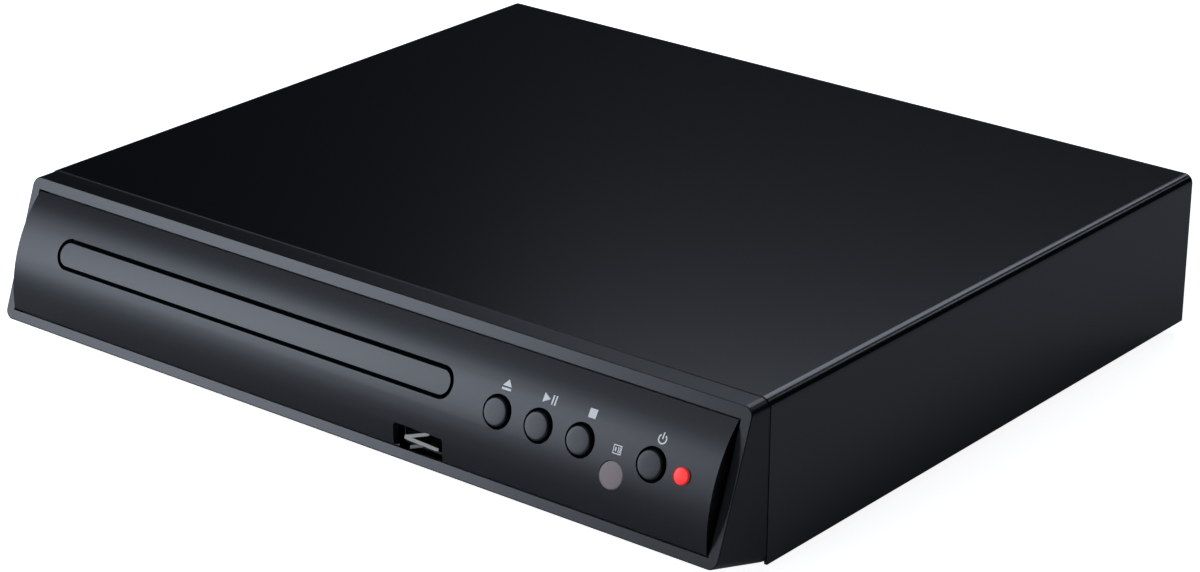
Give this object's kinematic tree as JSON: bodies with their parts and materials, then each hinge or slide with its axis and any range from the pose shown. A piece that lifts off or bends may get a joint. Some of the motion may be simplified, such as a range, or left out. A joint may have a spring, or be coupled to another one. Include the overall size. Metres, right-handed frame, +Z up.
{
  "type": "disc player",
  "caption": "Compact disc player: steel cover, sloped moulded front with a bulged fascia, motor-driven sliding disc tray, buttons, port and rear sockets.",
  "frame": {"origin": "centre of the bounding box, on the plane that the feet stand on", "axes": "+X to the right seen from the front, +Y to the back, +Z up"},
  "size_m": [0.225, 0.2089, 0.043],
  "materials": {
    "cover_paint": "satin black",
    "chassis_steel": "zinc-plated",
    "bezel_plastic": "fine satin",
    "fascia_plastic": "satin",
    "door_plastic": "satin",
    "button_plastic": "satin",
    "window_plastic": "translucent smoke",
    "lamp_red": "translucent red",
    "foot_rubber": "matte",
    "screw_steel": "black-zinc",
    "board_laminate": "solder mask",
    "component_black": "moulded",
    "switch_metal": "tinned",
    "port_metal": "nickel",
    "port_plastic": "moulded",
    "contact_gold": "gold-plated",
    "loader_plastic": "moulded black",
    "tray_plastic": "fine satin",
    "gear_plastic": "natural acetal",
    "belt_rubber": "matte",
    "motor_steel": "zinc-plated",
    "damper_rubber": "soft",
    "turntable_plastic": "moulded",
    "lens_glass": "coated",
    "capacitor_sleeve": "shrink sleeve",
    "transformer_tape": "taped winding",
    "jack_plastic": "coloured insert"
  },
  "bodies": {
    "housing": {"top_cover": "cover_paint", "base_chassis": "chassis_steel", "rear_panel": "cover_paint", "rubber_feet": "foot_rubber", "cover_screws": "screw_steel", "front_bezel": "bezel_plastic", "front_panel": "fascia_plastic", "receiver_window": "window_plastic", "standby_lamp": "lamp_red", "front_board": "board_laminate", "button_switches": "switch_metal", "infrared_receiver": "component_black", "usb_shell": "port_metal", "usb_tongue": "port_plastic", "usb_contacts": "contact_gold", "usb_board": "board_laminate", "loader_frame": "loader_plastic", "loader_screws": "screw_steel", "loading_motor": "motor_steel", "drive_belt": "belt_rubber", "clamp_bridge": "motor_steel", "main_board": "board_laminate", "power_board": "board_laminate", "board_screws": "screw_steel", "processor": "component_black", "memory_chips": "component_black", "main_capacitors": "capacitor_sleeve", "transformer": "transformer_tape", "mains_capacitor": "capacitor_sleeve", "output_capacitors": "capacitor_sleeve", "jack_block": "port_plastic", "jack_sleeves": "port_metal", "jack_inserts": "jack_plastic", "video_socket": "port_metal", "mains_inlet": "port_plastic", "inlet_pins": "port_metal"},
    "tray": {"disc_tray": "tray_plastic", "tray_door": "door_plastic"},
    "drive_gear": {"drive_gear": "gear_plastic"},
    "pulley_gear": {"pulley_gear": "gear_plastic"},
    "motor_pulley": {"motor_pulley": "gear_plastic"},
    "clamper": {"disc_clamper": "turntable_plastic", "clamper_magnet": "switch_metal"},
    "lift": {"lift_frame": "loader_plastic", "damper_grommets": "damper_rubber", "sled_plate": "motor_steel", "guide_rods": "port_metal", "spindle_motor": "motor_steel", "feed_motor": "motor_steel"},
    "turntable": {"turntable": "turntable_plastic", "turntable_pad": "foot_rubber"},
    "pickup": {"optical_pickup": "component_black", "pickup_lens": "lens_glass", "feed_nut": "gear_plastic"},
    "lead_screw": {"lead_screw": "port_metal"},
    "lift_cam": {"lift_cam": "gear_plastic"},
    "eject_button": {"eject_button": "button_plastic"},
    "play_button": {"play_button": "button_plastic"},
    "stop_button": {"stop_button": "button_plastic"},
    "power_button": {"power_button": "button_plastic"}
  },
  "joints": [
    {"name": "tray_slide", "type": "slide", "parent": "housing", "child": "tray", "axis": [0, -1, 0], "range_m": [0, 0.126]},
    {"name": "drive_gear_turn", "type": "hinge", "parent": "housing", "child": "drive_gear", "pos_m": [0.036, -0.0727, 0.0223], "axis": [0, 0, 1], "range_deg": [0, 1033.32]},
    {"name": "pulley_gear_turn", "type": "hinge", "parent": "housing", "child": "pulley_gear", "pos_m": [0.0216, -0.0727, 0.0187], "axis": [0, 0, 1], "range_deg": [-2064.65, 0]},
    {"name": "motor_turn", "type": "hinge", "parent": "housing", "child": "motor_pulley", "pos_m": [-0.0124, -0.0707, 0.0187], "axis": [0, 0, 1], "range_deg": [-6189.94, 0]},
    {"name": "sled_lift", "type": "hinge", "parent": "housing", "child": "lift", "pos_m": [-0.0306, 0.04571, 0.017], "axis": [-1, 0, 0], "range_deg": [0, 5.5]},
    {"name": "cam_slide", "type": "slide", "parent": "housing", "child": "lift_cam", "axis": [-1, 0, 0], "range_m": [0, 0.0171]},
    {"name": "disc_spin", "type": "hinge", "parent": "lift", "child": "turntable", "pos_m": [-0.0306, -0.03274, 0.02306], "axis": [0, -0.0958, 0.9954], "continuous": true},
    {"name": "clamper_spin", "type": "hinge", "parent": "housing", "child": "clamper", "pos_m": [-0.0306, -0.03179, 0.03645], "axis": [0, 0, 1], "continuous": true},
    {"name": "pickup_slide", "type": "slide", "parent": "lift", "child": "pickup", "axis": [0, 0.9954, 0.0958], "range_m": [0, 0.032]},
    {"name": "lead_screw_turn", "type": "hinge", "parent": "lift", "child": "lead_screw", "pos_m": [-0.0006, -0.02331, 0.01699], "axis": [0, 0.9954, 0.0958], "range_deg": [0, 4610]},
    {"name": "eject_press", "type": "slide", "parent": "housing", "child": "eject_button", "axis": [0, 0.9391, -0.3437], "range_m": [0, 0.0006], "stiffness_N_per_m": 80, "springref_m": -0.001},
    {"name": "play_press", "type": "slide", "parent": "housing", "child": "play_button", "axis": [0, 0.9391, -0.3437], "range_m": [0, 0.0006], "stiffness_N_per_m": 80, "springref_m": -0.001},
    {"name": "stop_press", "type": "slide", "parent": "housing", "child": "stop_button", "axis": [0, 0.9391, -0.3437], "range_m": [0, 0.0006], "stiffness_N_per_m": 80, "springref_m": -0.001},
    {"name": "power_press", "type": "slide", "parent": "housing", "child": "power_button", "axis": [0, 0.9391, -0.3437], "range_m": [0, 0.0006], "stiffness_N_per_m": 80, "springref_m": -0.001}
  ],
  "couplings": [
    {"joint": "drive_gear_turn", "follows": "tray_slide", "rad_per_m": 142.86},
    {"joint": "pulley_gear_turn", "follows": "tray_slide", "rad_per_m": -285.71},
    {"joint": "motor_turn", "follows": "tray_slide", "rad_per_m": -857.14},
    {"joint": "cam_slide", "follows": "sled_lift", "m_per_rad": 0.1771},
    {"joint": "clamper_spin", "follows": "disc_spin", "ratio": 1},
    {"joint": "lead_screw_turn", "follows": "pickup_slide", "rad_per_m": 2513.3}
  ]
}
